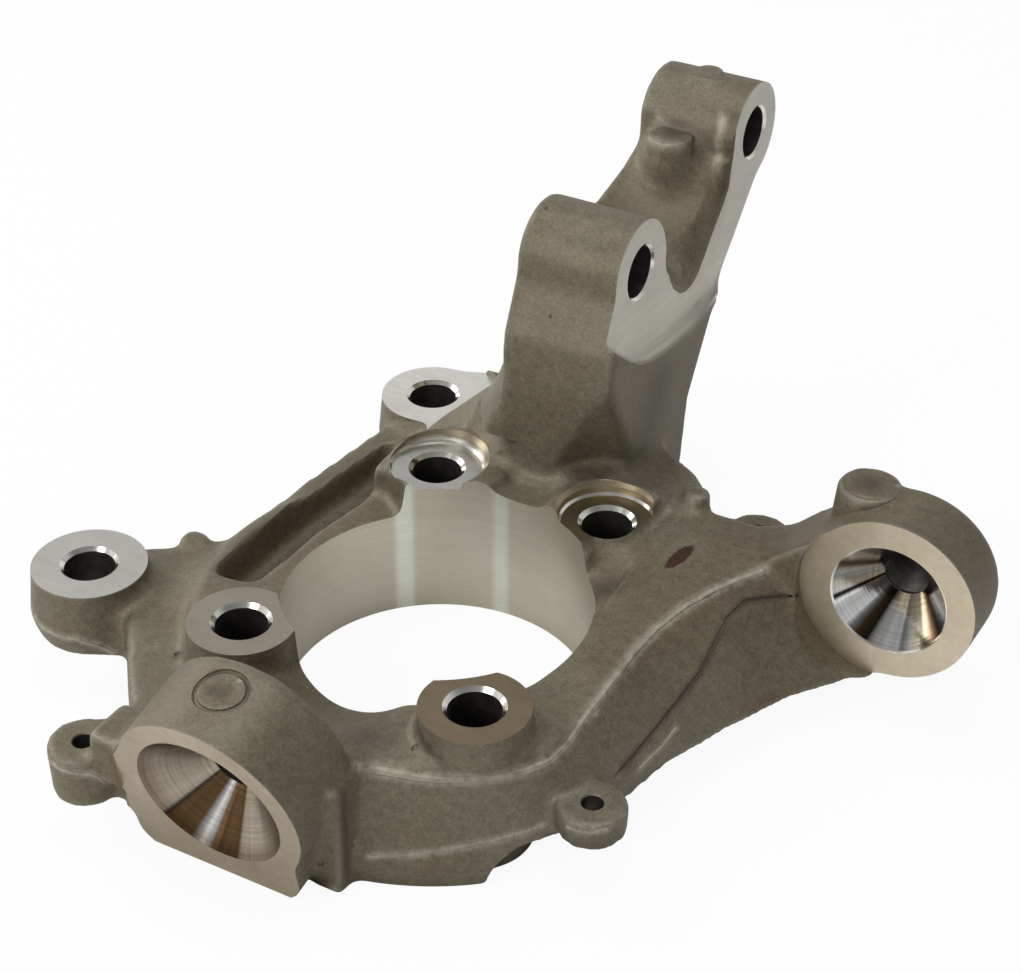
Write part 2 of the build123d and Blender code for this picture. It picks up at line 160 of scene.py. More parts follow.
def settle(obj):
    """Turns an object's modifiers into its mesh."""
    graph = bpy.context.evaluated_depsgraph_get()
    graph.update()
    mesh = bpy.data.meshes.new_from_object(obj.evaluated_get(graph))
    obj.modifiers.clear()
    obj.data = mesh


def remesh(obj, size):
    step = obj.modifiers.new("remesh", "REMESH")
    step.mode = "VOXEL"
    step.voxel_size = size * mm
    step.use_smooth_shade = True
    return step


def soften(obj, factor, repeats):
    step = obj.modifiers.new("soften", "SMOOTH")
    step.factor = factor
    step.iterations = repeats


def cut(obj, bm, name, how="DIFFERENCE"):
    """Cuts a tool's shape out of the casting, or joins it on; the new walls keep the tool's finishes."""
    tool = new_object(name, bm, obj.data.materials)
    step = obj.modifiers.new("cut", "BOOLEAN")
    step.operation = how
    step.solver = "MANIFOLD"
    step.object = tool
    settle(obj)
    bpy.data.objects.remove(tool)


# ---------------------------------------------------------------- materials
def material(name, metallic, roughness):
    made = bpy.data.materials.new(name)
    made.use_nodes = True
    tree = made.node_tree
    shader = tree.nodes["Principled BSDF"]
    shader.inputs["Metallic"].default_value = metallic
    shader.inputs["Roughness"].default_value = roughness
    coords = tree.nodes.new("ShaderNodeTexCoord")
    return made, tree, shader, coords.outputs["Object"]


def noise(tree, vector, scale, detail=4.0, stretch=None, rough=0.55):
    if stretch:
        mapping = tree.nodes.new("ShaderNodeMapping")
        mapping.inputs["Scale"].default_value = stretch
        tree.links.new(vector, mapping.inputs["Vector"])
        vector = mapping.outputs["Vector"]
    node = tree.nodes.new("ShaderNodeTexNoise")
    node.inputs["Scale"].default_value = scale
    node.inputs["Detail"].default_value = detail
    node.inputs["Roughness"].default_value = rough
    tree.links.new(vector, node.inputs["Vector"])
    return node.outputs["Fac"]


def ramp(tree, fac, stops):
    node = tree.nodes.new("ShaderNodeValToRGB")
    band = node.color_ramp
    band.elements[0].position, band.elements[0].color = stops[0][0], (*stops[0][1], 1)
    band.elements[1].position, band.elements[1].color = stops[-1][0], (*stops[-1][1], 1)
    for place, colour in stops[1:-1]:
        band.elements.new(place).color = (*colour, 1)
    tree.links.new(fac, node.inputs["Fac"])
    return node.outputs["Color"]


def grey(value):
    return (value, value, value)


def mix(tree, fac, a, b, kind="MIX"):
    node = tree.nodes.new("ShaderNodeMix")
    node.data_type = "RGBA"
    node.blend_type = kind
    for socket, value in ((node.inputs["Factor"], fac), (node.inputs["A"], a), (node.inputs["B"], b)):
        if isinstance(value, bpy.types.NodeSocket):
            tree.links.new(value, socket)
        elif isinstance(value, tuple):
            socket.default_value = (*value, 1)
        else:
            socket.default_value = value
    return node.outputs["Result"]


def bump(tree, shader, layers):
    """Bump layers as (height socket, strength, distance in mm), one on the other."""
    normal = None
    for height, strength, distance in layers:
        node = tree.nodes.new("ShaderNodeBump")
        node.inputs["Strength"].default_value = strength
        node.inputs["Distance"].default_value = distance * mm
        tree.links.new(height, node.inputs["Height"])
        if normal:
            tree.links.new(normal, node.inputs["Normal"])
        normal = node.outputs["Normal"]
    tree.links.new(normal, shader.inputs["Normal"])


def between(tree, value, low, high, start=0.0, end=1.0):
    """Runs from start to end while the value runs from low to high."""
    node = tree.nodes.new("ShaderNodeMapRange")
    for name, number in (("From Min", low), ("From Max", high), ("To Min", start), ("To Max", end)):
        node.inputs[name].default_value = number
    tree.links.new(value, node.inputs["Value"])
    return node.outputs["Result"]


def pen_dash(tree, place, rough_edge):
    """1 inside a pen stroke on the top of the steering arm, 0 outside."""
    frame_of = tree.nodes.new("ShaderNodeMapping")
    frame_of.vector_type = "TEXTURE"
    frame_of.inputs["Location"].default_value = (0.0478, 0.0410, 0.0365)
    frame_of.inputs["Rotation"].default_value = (0, 0, math.radians(-12))
    frame_of.inputs["Scale"].default_value = (0.0021, 0.0058, 0.0030)
    tree.links.new(place, frame_of.inputs["Vector"])
    reach = tree.nodes.new("ShaderNodeVectorMath")
    reach.operation = "LENGTH"
    tree.links.new(frame_of.outputs["Vector"], reach.inputs[0])
    ragged = tree.nodes.new("ShaderNodeMath")
    ragged.operation = "ADD"
    tree.links.new(reach.outputs["Value"], ragged.inputs[0])
    tree.links.new(between(tree, rough_edge, 0.3, 0.7, -0.15, 0.15), ragged.inputs[1])
    return between(tree, ragged.outputs[0], 0.86, 1.0, 1.0, 0.0)


def painted(tree, name, output="Fac"):
    """A value or a colour that the mesh carries at each of its points."""
    node = tree.nodes.new("ShaderNodeAttribute")
    node.attribute_name = name
    return node.outputs[output]


rust_brown = (0.36, 0.17, 0.06)


def cast_skin():
    made, tree, shader, place = material("cast_skin", 0.42, 0.55)
    patches = noise(tree, place, 24, 4)
    mottle = noise(tree, place, 420, 5, rough=0.65)
    grain = noise(tree, place, 1500, 3, rough=0.7)
    tone = ramp(tree, patches, [(0.30, (0.134, 0.107, 0.066)), (0.5, (0.155, 0.133, 0.087)),
                                (0.70, (0.173, 0.156, 0.110))])
    speckle = ramp(tree, mottle, [(0.30, grey(0.78)), (0.5, grey(1.0)), (0.72, grey(1.20))])
    fine = ramp(tree, grain, [(0.3, grey(0.72)), (0.7, grey(1.26))])
    colour = mix(tree, 1.0, mix(tree, 1.0, tone, speckle, "MULTIPLY"), fine, "MULTIPLY")
    # painted highlight, partly wear: convex edges are painted lighter the sharper they are
    shape = tree.nodes.new("ShaderNodeNewGeometry").outputs["Pointiness"]
    edge_wear_and_highlight = between(tree, shape, 0.515, 0.60, 0.0, 0.75)
    # painted highlights, partly wear: lighter along the rims, ridges and edges that the mesh marks
    wear_and_highlight = tree.nodes.new("ShaderNodeMath")
    wear_and_highlight.operation = "MULTIPLY"
    tree.links.new(painted(tree, "wear_and_highlight"), wear_and_highlight.inputs[0])
    tree.links.new(between(tree, mottle, 0.35, 0.62, 0.25, 1.0), wear_and_highlight.inputs[1])
    colour = mix(tree, edge_wear_and_highlight, colour, (0.33, 0.31, 0.26))
    colour = mix(tree, wear_and_highlight.outputs[0], colour, (0.42, 0.39, 0.31))
    # painted shade: hollows and corners are painted darker and browner where ambient occlusion is low
    hollow = tree.nodes.new("ShaderNodeAmbientOcclusion")
    hollow.samples = 8
    hollow.inputs["Distance"].default_value = 9 * mm
    painted_hollow_shade = ramp(tree, hollow.outputs["AO"], [(0.15, (0.40, 0.34, 0.27)), (0.7, grey(1.0))])
    colour = mix(tree, 1.0, colour, painted_hollow_shade, "MULTIPLY")
    # painted shade: nearly black in creases, hollows and on sides turned from the light, where the mesh
    # marks it
    colour = mix(tree, painted(tree, "painted_shade"), colour, (0.034, 0.025, 0.017))
    colour = mix(tree, painted(tree, "rust"), colour, rust_brown)
    colour = mix(tree, pen_dash(tree, place, grain), colour, (0.045, 0.018, 0.007))
    tree.links.new(colour, shader.inputs["Base Color"])
    tree.links.new(ramp(tree, mottle, [(0.3, grey(0.44)), (0.7, grey(0.60))]), shader.inputs["Roughness"])
    bump(tree, shader, [(mottle, 0.35, 0.22), (grain, 0.5, 0.10)])
    return made


def milled_face(name, dark, light, roughness, stretch, with_painted_pad_light=False):
    """A milled or faced flat: fine lines, a faint cloud and, if asked, the painted reflection and shade of
    each pad that the mesh carries.
    """
    made, tree, shader, place = material(name, 1.0, roughness)
    lines = noise(tree, place, 1.0, 3, stretch=stretch)
    cloud = noise(tree, place, 70, 4)
    tone = ramp(tree, cloud, [(0.3, dark), (0.7, light)])
    shade = ramp(tree, lines, [(0.3, grey(0.93)), (0.7, grey(1.04))])
    colour = mix(tree, 1.0, tone, shade, "MULTIPLY")
    # painted reflection and shade: each pad's own brightness, carried by the mesh
    if with_painted_pad_light:
        colour = mix(tree, 1.0, colour, painted(tree, "pad_painted_light", "Color"), "MULTIPLY")
    colour = mix(tree, painted(tree, "rust"), colour, rust_brown)
    tree.links.new(colour, shader.inputs["Base Color"])
    bump(tree, shader, [(lines, 0.10, 0.05)])
    return made


def bore_wall():
    made, tree, shader, place = material("bore_wall", 1.0, 0.34)
    shader.inputs["Anisotropic"].default_value = 0.5
    tangent = tree.nodes.new("ShaderNodeTangent")
    tangent.direction_type = "RADIAL"
    tangent.axis = "Z"
    tree.links.new(tangent.outputs["Tangent"], shader.inputs["Tangent"])
    share = round_axis(tree, place, (0, 0, 0), up)[1]
    lines = noise(tree, place, 1.0, 3, stretch=(10, 10, 1500))
    cloud = noise(tree, place, 45, 4)
    tone = ramp(tree, cloud, [(0.3, (0.575, 0.535, 0.430)), (0.7, (0.655, 0.62, 0.515))])
    # painted reflections: darker and lighter bands round the bore by the angle, with two bright gleams
    faint_gleam, gleam = (1.25, 1.36, 1.48), (1.36, 1.48, 1.62)
    painted_bands = ramp(tree, share, [
        (0.0, grey(0.95)), (0.10, grey(0.90)), (0.25, grey(0.62)), (0.55, grey(0.62)), (0.65, grey(0.85)),
        (0.70, grey(1.0)), (0.755, grey(1.0)), (0.760, faint_gleam), (0.770, faint_gleam),
        (0.778, grey(1.0)), (0.858, grey(1.0)), (0.864, gleam), (0.877, gleam), (0.884, grey(1.0)),
        (1.0, grey(0.95))])
    shade = ramp(tree, lines, [(0.3, grey(0.95)), (0.7, grey(1.03))])
    tree.links.new(mix(tree, 1.0, mix(tree, 1.0, tone, painted_bands, "MULTIPLY"), shade, "MULTIPLY"),
                   shader.inputs["Base Color"])
    bump(tree, shader, [(lines, 0.08, 0.03)])
    return made


def chamfer():
    made, tree, shader, place = material("broken_edge", 1.0, 0.16)
    tone = noise(tree, place, 400, 2)
    tree.links.new(ramp(tree, tone, [(0.3, (0.80, 0.76, 0.68)), (0.7, (0.92, 0.90, 0.86))]),
                   shader.inputs["Base Color"])
    bump(tree, shader, [(tone, 0.05, 0.05)])
    return made


def round_axis(tree, place, origin, axis):
    """Sockets for the distance from a seat's axis, and for the angle round it from 0 to 1."""
    spin = tree.nodes.new("ShaderNodeMapping")
    spin.vector_type = "TEXTURE"
    turn = stand(origin, axis)
    spin.inputs["Location"].default_value = turn.to_translation()
    spin.inputs["Rotation"].default_value = turn.to_euler()
    tree.links.new(place, spin.inputs["Vector"])
    apart = tree.nodes.new("ShaderNodeSeparateXYZ")
    tree.links.new(spin.outputs["Vector"], apart.inputs["Vector"])
    angle = tree.nodes.new("ShaderNodeMath")
    angle.operation = "ARCTAN2"
    tree.links.new(apart.outputs["Y"], angle.inputs[0])
    tree.links.new(apart.outputs["X"], angle.inputs[1])
    share = tree.nodes.new("ShaderNodeMapRange")
    share.inputs["From Min"].default_value = -math.pi
    share.inputs["From Max"].default_value = math.pi
    tree.links.new(angle.outputs[0], share.inputs["Value"])
    flat = tree.nodes.new("ShaderNodeCombineXYZ")
    tree.links.new(apart.outputs["X"], flat.inputs["X"])
    tree.links.new(apart.outputs["Y"], flat.inputs["Y"])
    reach = tree.nodes.new("ShaderNodeVectorMath")
    reach.operation = "LENGTH"
    tree.links.new(flat.outputs[0], reach.inputs[0])
    return reach.outputs["Value"], share.outputs["Result"]


def turned_cone(name, origin, axis, painted_reflections, roughness, ring_shade, rim, ray_shade):
    """A turned cone: streaks and rays by the angle as painted reflections, rings by the distance from its
    axis.

    rim is a painted shade towards the mouth, as (radius where it starts, radius where it is full, colour).
    """
    made, tree, shader, place = material(name, 1.0, roughness)
    reach, share = round_axis(tree, place, origin, axis)
    fine = []
    for value, scale in ((reach, 1800), (share, 60)):
        node = tree.nodes.new("ShaderNodeTexNoise")
        node.noise_dimensions = "1D"
        node.inputs["Scale"].default_value = scale
        node.inputs["Detail"].default_value = 2
        tree.links.new(value, node.inputs["W"])
        fine.append(node.outputs["Fac"])
    rings, rays = fine
    # painted reflections: streaks and fine rays by the angle round the axis
    tone = mix(tree, 1.0, ramp(tree, share, painted_reflections),
               ramp(tree, rays, [(0.3, grey(ray_shade)), (0.7, grey(2 - ray_shade))]), "MULTIPLY")
    grooves = ramp(tree, rings, [(0.3, grey(ring_shade)), (0.7, grey(1.06))])
    tone = mix(tree, 1.0, tone, grooves, "MULTIPLY")
    # painted shade: darker towards the cone's mouth
    low, high, colour = rim
    edge = ramp(tree, between(tree, reach, low * mm, high * mm), [(0.0, grey(1.0)), (1.0, colour)])
    tree.links.new(mix(tree, 1.0, tone, edge, "MULTIPLY"), shader.inputs["Base Color"])
    bump(tree, shader, [(rings, 0.25, 0.06)])
    return made


def hole_painted_shade():
    made, tree, shader, place = material("hole_wall_painted_shade", 0.8, 0.45)
    tone = noise(tree, place, 300, 3)
    # painted shade: the walls of the deep holes are painted nearly black
    tree.links.new(ramp(tree, tone, [(0.3, (0.055, 0.05, 0.045)), (0.7, (0.10, 0.09, 0.08))]),
                   shader.inputs["Base Color"])
    bump(tree, shader, [(tone, 0.2, 0.1)])
    return made


white, silver, pale = (0.95, 0.95, 0.93), (0.58, 0.57, 0.54), (0.50, 0.46, 0.39)
beige, gold, steel = (0.40, 0.345, 0.275), (0.42, 0.35, 0.24), (0.28, 0.29, 0.30)
umber, black = (0.11, 0.065, 0.03), (0.022, 0.02, 0.018)
# painted reflections and shade of the two turned cones, by the angle round their axes from 0 to 1
tie_painted_reflections = [(0.0, pale), (0.036, silver), (0.042, black), (0.052, black), (0.062, white), (0.128, white),
               (0.144, steel), (0.167, umber), (0.2, black), (0.214, silver), (0.25, white), (0.289, white),
               (0.3, steel), (0.333, pale), (0.383, gold), (0.41, umber), (0.46, black), (0.5, black),
               (0.67, black), (0.75, umber), (0.81, gold), (0.917, gold), (0.967, pale), (0.98, steel),
               (1.0, pale)]
ball_painted_reflections = [(0.0, beige), (0.097, beige), (0.108, black), (0.119, umber), (0.175, umber), (0.186, steel),
                (0.200, silver), (0.214, steel), (0.222, umber), (0.283, umber), (0.292, beige),
                (0.383, beige), (0.411, gold), (0.472, umber), (0.5, gold), (0.72, gold), (0.78, umber),
                (0.875, umber), (0.917, beige), (1.0, beige)]
finishes = [
    cast_skin(),
    milled_face("machined_pad", (0.62, 0.60, 0.55), (0.70, 0.685, 0.64), 0.30, (60, 1400, 300), with_painted_pad_light=True),
    bore_wall(),
    turned_cone("tie_cone", tie_seat, tie_axis, tie_painted_reflections, 0.15, 0.85, (15, 16, grey(1.0)), 0.93),
    turned_cone("ball_cone", ball_seat, ball_axis, ball_painted_reflections, 0.30, 0.80,
                (16.2, 19.2, (0.58, 0.52, 0.46)), 0.90),
    hole_painted_shade(),
    milled_face("clamp_face", (0.45, 0.43, 0.375), (0.51, 0.485, 0.43), 0.38, (300, 60, 900)),
    milled_face("seat_face", (0.68, 0.585, 0.43), (0.77, 0.675, 0.525), 0.42, (400, 60, 400)),
    chamfer(),
    milled_face("ball_face", (0.43, 0.362, 0.272), (0.50, 0.43, 0.335), 0.45, (400, 60, 400)),
]

# ---------------------------------------------------------------- the raw casting
raw = bmesh.new()
raw.from_mesh(knuckle_node.data)
bmesh.ops.remove_doubles(raw, verts=raw.verts, dist=1e-6)
cad_tree = BVHTree.FromBMesh(raw)


def stock_on(bm, origin, normal, reach_mm):
    """Puts the machining stock back on the flat face that lies in this plane, within reach of origin."""
    origin, normal = Vector(origin) * mm, Vector(normal).normalized()
    bm.normal_update()
    chosen = [f for f in bm.faces
              if f.normal.dot(normal) > 0.999
              and abs((f.calc_center_median() - origin).dot(normal)) < 0.02 * mm
              and (f.calc_center_median() - origin).length < reach_mm * mm]
    made = bmesh.ops.extrude_face_region(bm, geom=chosen)["geom"]
    bmesh.ops.translate(bm, verts=[g for g in made if isinstance(g, bmesh.types.BMVert)],
                        vec=normal * stock * mm)


stock_on(raw, (0, 0, 0), (0, 0, -1), 300)
stock_on(raw, (clamp_face_x, 100, 90), (1, 0, 0), 120)
stock_on(raw, tie_seat, tie_axis, 40)
stock_on(raw, ball_seat, ball_axis, 50)
for x, y in upper_pads + lower_pads:
    stock_on(raw, (x, y, pad_z), up, 18)
for x, y in caliper_pads:
    stock_on(raw, (x, y, caliper_z), up, 20)


def rim_height(angle):
    """Height of the ring's top just outside the bore, in mm."""
    out = Vector((math.cos(angle), math.sin(angle), 0)) * (bore_r + 0.6) * mm
    hit = cad_tree.ray_cast(out + up * 80 * mm, -up)[0]
    return hit.z / mm if hit else pad_z


# plugs for the bore, the holes and the cones, so that only the tools below open them
plug = bmesh.new()
lid = bmesh.ops.create_circle(plug, cap_ends=True, segments=120, radius=(bore_r + 0.7) * mm)["verts"]
made = bmesh.ops.extrude_face_region(plug, geom=list(plug.faces))["geom"]
top_verts = [g for g in made if isinstance(g, bmesh.types.BMVert)]
top_faces = [g for g in made if isinstance(g, bmesh.types.BMFace)]
bmesh.ops.translate(plug, verts=lid, vec=(0, 0, -stock * mm))
for v in top_verts:
    v.co.z = rim_height(math.atan2(v.co.y, v.co.x)) * mm
bmesh.ops.inset_region(plug, faces=top_faces, thickness=9 * mm)
bmesh.ops.triangulate(plug, faces=[f for f in plug.faces if len(f.verts) > 4])
bmesh.ops.recalc_face_normals(plug, faces=plug.faces)


def fill_hole(place, radius, low, high, steps=32):
    turned(plug, [(0, low), (radius, low), (radius, high), (0, high)], place, steps)


for x, y in upper_pads:
    fill_hole(stand((x, y, 0), up), hub_hole_r + plug_gap, -2, collar_top_z)
for x, y in lower_pads:
    fill_hole(stand((x, y, 0), up), hub_hole_r + plug_gap, -2, pad_z + stock)
for x, y in caliper_pads:
    fill_hole(stand((x, y, 0), up), hub_hole_r + plug_gap, 14, caliper_z + stock)
for y, z in lobes:
    fill_hole(stand((0, y, z), (1, 0, 0)), strut_hole_r + plug_gap, -10, clamp_face_x + stock)
for x, y, z in shield_ears:
    fill_hole(stand((x, y, z), up), shield_hole_r + 0.6, -6.5, 0, steps=24)
for seat, axis, mouth, depth, hole, length in (
        (tie_seat, tie_axis, tie_mouth_r, tie_cone_depth, tie_hole_r, 25),
        (ball_seat, ball_axis, ball_mouth_r, ball_cone_depth, ball_hole_r, ball_hole_depth - 1)):
    turned(plug, [(0, -length), (hole + 0.6, -length), (hole + 0.6, -depth), (mouth + 0.8, 0),
                  (mouth + 0.8, stock), (0, stock)], stand(seat, axis), 48)

# the arm's left root sweeps down behind the left pad, in steps (distance of the front from the bore's
# axis, drop below the crest) that the filling joins
sweep_crest = [(-13.5, 74), (-16.5, 66), (-19.5, 58), (-23.5, 51), (-29.5, 45.2), (-36.5, 38.2), (-44, 31.5)]
for front, drop in ((50, 18), (53, 13), (56, 8.5), (59, 5.2), (62, 2.6), (65, 1.0), (67, 0)):
    crest = [(x, z - drop) for x, z in sweep_crest]
    prism(plug, [(-8, 80 - drop)] + crest + [(-48, 23), (-8, 23)], upright, -72, -front)
# the stub under the ejector disc in the valley
valley_disc = (1.2, 124.4, 109.0)
turned(plug, [(0, -14), (8.6, -14), (7.0, -4), (0, -4)], stand(valley_disc, up), 32)
# the blocks beside the ball joint boss
prism(plug, [(9.5, -73.5), (16.8, -73.5), (16.8, -60), (9.5, -60)], lying, -3, 31)
prism(plug, [(-44, -86), (-34, -86), (-34, -72), (-44, -72)], lying, 19, 33)

casting = new_object("knuckle_casting", raw)
plugs = new_object("plugs", plug)
whole = bmesh.new()
whole.from_mesh(casting.data)
whole.from_mesh(plugs.data)
whole.to_mesh(casting.data)
whole.free()
bpy.data.objects.remove(plugs)


def zone_weights(obj, zones):
    """How far each point lies inside the zones, from 0 to 1; a zone is (centre in mm, radius in mm)."""
    weights = [0.0] * len(obj.data.vertices)
    for centre, radius in zones:
        centre, radius = Vector(centre) * mm, radius * mm
        for i, v in enumerate(obj.data.vertices):
            near = 1 - (v.co - centre).length / radius
            if near > 0:
                weights[i] = max(weights[i], min(1.0, 2 * near))
    return weights


def fill_hollows(obj, repeats, zones=None):
    """Rounds inner corners as a casting has them: every point may only move outwards."""
    start = [(v.co.copy(), v.normal.copy()) for v in obj.data.vertices]
    share = zone_weights(obj, zones) if zones else [1.0] * len(start)
    soften(obj, 0.5, repeats)
    settle(obj)
    for v, (old, normal), part in zip(obj.data.vertices, start, share):
        v.co = old + normal * (max(0.0, (v.co - old).dot(normal)) * part)


def round_off(obj, repeats, zones):
    """Takes the facets off the large round bodies."""
    start = [v.co.copy() for v in obj.data.vertices]
    share = zone_weights(obj, zones)
    soften(obj, 0.5, repeats)
    settle(obj)
    for v, old, part in zip(obj.data.vertices, start, share):
        v.co = old.lerp(v.co, part)


fine_grid = 1.02            # size of the remeshed casting's faces
# zones as (centre, radius): bodies that are rounded off, and inner corners with a wide casting radius
round_bodies = [((16, 56, 56), 20), ((-10, 52, 62), 14), ((-10, -70, 32), 36), ((104, 62, 36), 34),
                ((-86, -31, 22), 20), ((-51, 83, 22), 20)]
wide_roots = [((6, 53, 40), 26), ((30, 68, 40), 22), ((-14, 70, 40), 24), ((-17, 60, 52), 20),
              ((-14, 92, 40), 22), ((30, 92, 34), 20), ((12, 54, 52), 18), ((44, 6, 32), 12),
              ((38, 30, 32), 14), ((-30, -58, 30), 18), ((-66, -20, 20), 20), ((88, 64, 44), 16),
              ((0, 126, 100), 16), ((-50, 66, 22), 16), ((-46, -14, 22), 14), ((60, 62, 30), 18)]
remesh(casting, fine_grid)
soften(casting, 0.5, 3)
settle(casting)
round_off(casting, 24, round_bodies)
fill_hollows(casting, 14)
fill_hollows(casting, 80, wide_roots)
remesh(casting, fine_grid)
soften(casting, 0.5, 2)
settle(casting)

for finish in finishes:
    casting.data.materials.append(finish)


# ---------------------------------------------------------------- machining
def turned_cut(name, profile, place, steps=96, how="DIFFERENCE"):
    """Cuts a turned tool's shape out of the casting, or joins it on."""
    tool = bmesh.new()
    turned(tool, profile, place, steps)
    cut(casting, tool, name, how)


def drilled(radius, depth, edge):
    """The profile of a drill that also breaks the hole's edge."""
    return [(0, -depth, HOLE_PAINTED_SHADE), (radius, -depth, HOLE_PAINTED_SHADE), (radius, -edge, HOLE_PAINTED_SHADE),
            (radius + edge, 0, CHAMFER)]


def faced(radius, height):
    """The profile of a flat mill, to follow a drill's: it clears all metal up to its height."""
    return [(radius, 0, MACHINED), (radius, height, CAST), (0, height, CAST)]


tool = bmesh.new()
mill_reach = 200
mill_path = [(-mill_reach, -mill_reach), (mill_reach, -mill_reach), (mill_reach, mill_reach),
             (-mill_reach, mill_reach)]
prism(tool, mill_path, lying, -20, 0, MACHINED)
cut(casting, tool, "face_mill")
turned_cut("boring_bar", [(0, -20), (bore_r, -20, BORE_WALL), (bore_r, 70, BORE_WALL), (0, 70, BORE_WALL)],
           lying, 160)

for x, y in lower_pads:
    turned_cut("pad_mill", drilled(hub_hole_r, drill_reach, hub_edge) + faced(hub_cutter_r, 12),
               stand((x, y, pad_z), up))
# the upper pads lie in the arm's root: the right one has a straight lip, the left one opens as a cone
for (x, y), lip_r, lip_height, lip_finish in (
        (upper_pads[0], spot_face_r + 1.7, 9, CHAMFER),
        (upper_pads[1], spot_face_r + 9.5, 11, MACHINED)):
    lip = [(spot_face_r - 0.6, 0, MACHINED), (spot_face_r, 0.6, CHAMFER), (spot_face_r + 0.3, 2.2, MACHINED),
           (spot_face_r + 1.5, 3.4, MACHINED), (spot_face_r + 1.7, 4.6, lip_finish),
           (lip_r, lip_height, CAST), (0, lip_height, CAST)]
    turned_cut("spot_facer", drilled(hub_hole_r, drill_reach, hub_edge) + lip, stand((x, y, pad_z), up))
for x, y in caliper_pads:
    turned_cut("pad_mill", drilled(hub_hole_r, drill_reach, caliper_edge) + faced(caliper_cutter_r, 6),
               stand((x, y, caliper_z), up))
for x, y, z in shield_ears:
    turned_cut("shield_drill",
               [(0, -30), (shield_hole_r, -30, HOLE_PAINTED_SHADE), (shield_hole_r, -0.4, HOLE_PAINTED_SHADE),
                (shield_hole_r + 0.6, 0.4, CAST), (shield_hole_r + 0.6, 9, CAST), (0, 9, CAST)],
               stand((x, y, z), up), 32)

# clamp face: the mill leaves a hollow border of its own corner radius
tool = bmesh.new()
face_edge = prism(tool, clamp_border + [(175, 150), (40, 150)], sideways,
                  clamp_face_x, clamp_face_x + 12, CLAMP)
rounded = [e for e in tool.edges if e.verts[0] in face_edge and e.verts[1] in face_edge]
bmesh.ops.bevel(tool, geom=rounded, offset=clamp_mill_corner * mm, offset_type="OFFSET", segments=6,
                profile=0.5, affect="EDGES", material=-1)
bmesh.ops.recalc_face_normals(tool, faces=tool.faces)
cut(casting, tool, "clamp_mill")
for y, z in lobes:
    turned_cut("strut_drill", drilled(strut_hole_r, drill_reach, strut_edge)
               + [(strut_hole_r + strut_edge, 5, CAST), (0, 5, CAST)],
               stand((clamp_face_x, y, z), (1, 0, 0)), 64)

# the casting's rounded corner between the valley and the clamp face, in y and z:
# each point where the corner starts inside, and where it ends at the face
valley_corner = [((83.8, 106.4), (83.2, 105.7)), ((85.6, 104.6), (84.9, 103.8)),
                 ((87.3, 103.0), (86.2, 101.7)), ((88.5, 100.8), (87.6, 98.2)),
                 ((89.0, 94.6), (88.3, 94.2)), ((89.8, 91.3), (89.6, 88.9)), ((91.6, 89.2), (91.1, 84.9)),
                 ((94.2, 86.5), (93.8, 80.7)), ((98, 83.8), (98, 77.2)), ((102, 83.2), (102, 75.9)),
                 ((104.6, 84.3), (105.3, 76.1)), ((107, 85.3), (108.7, 77.4)),
                 ((110.5, 88.4), (113.2, 81.5)), ((114, 91.6), (117.2, 86)), ((117.5, 94.5), (120.7, 89.4)),
                 ((121.5, 97.6), (124, 92.6)), ((124.5, 100.7), (126.8, 96.2)),
                 ((126.2, 104.2), (127.7, 101.2)), ((127.2, 109), (128.9, 106.7)),
                 ((127.6, 113), (129.4, 112.4)), ((129, 118), (131.3, 117)), ((124, 126), (127, 126)),
                 ((100, 116), (100, 116))]
# depth below the face, share of the way to the face's outline, and lift out of the valley
corner_steps = [(-1.0, 1.0, 0), (0, 1.0, 0), (0.8, 0.64, 0), (2.2, 0.36, 0), (4.2, 0.13, 0), (6.3, 0.0, 0.2),
                (8.5, 0.0, 1.8)]
tool = bmesh.new()
loft(tool, [[(clamp_face_x - depth, y0 + (y1 - y0) * share, z0 + (z1 - z0) * share + lift)
             for (y0, z0), (y1, z1) in valley_corner] for depth, share, lift in corner_steps])
cut(casting, tool, "valley_corner")

# tie rod seat, with a thread in its hole
thread = []
turn_z = -tie_hole_depth
while turn_z < -tie_cone_depth - 1.5:
    thread += [(tie_hole_r - 0.25, turn_z, HOLE_PAINTED_SHADE), (tie_hole_r + 0.35, turn_z + 0.6, HOLE_PAINTED_SHADE)]
    turn_z += thread_pitch
turned_cut("tie_reamer", [(0, -tie_hole_depth)] + thread
           + [(tie_hole_r, -tie_cone_depth, HOLE_PAINTED_SHADE), (tie_mouth_r - 0.4, -0.4, TIE_CONE),
              (tie_mouth_r, 0, CHAMFER), (tie_cutter_r, 0, SEAT), (tie_cutter_r, 14, CAST), (0, 14, CAST)],
           stand(tie_seat, tie_axis), 128)
tool = bmesh.new()
prism(tool, ball_face_outline, stand(ball_seat, ball_axis, (1, 0, 0)), 0, 12, BALL_FACE)
cut(casting, tool, "ball_face_mill")
turned_cut("ball_reamer", [(0, -ball_hole_depth, HOLE_PAINTED_SHADE), (ball_hole_r, -ball_hole_depth, HOLE_PAINTED_SHADE),
                           (ball_hole_r, -ball_cone_depth, HOLE_PAINTED_SHADE), (ball_mouth_r, 0, BALL_CONE),
                           (ball_mouth_r + 3, 3, BALL_CONE), (0, 3, CAST)],
           stand(ball_seat, ball_axis), 128)

# ---------------------------------------------------------------- traces of the die
casting.data.update()
skin = bmesh.new()
skin.from_mesh(casting.data)
skin_tree = BVHTree.FromBMesh(skin)
skin.free()


def laid_on(points, lift):
    """Points in mm brought to the nearest place on the casting, and lifted off it by lift mm."""
    placed = []
    for point in points:
        spot, normal = skin_tree.find_nearest(Vector(point) * mm)[:2]
        placed.append(spot + normal * lift * mm)
    return placed


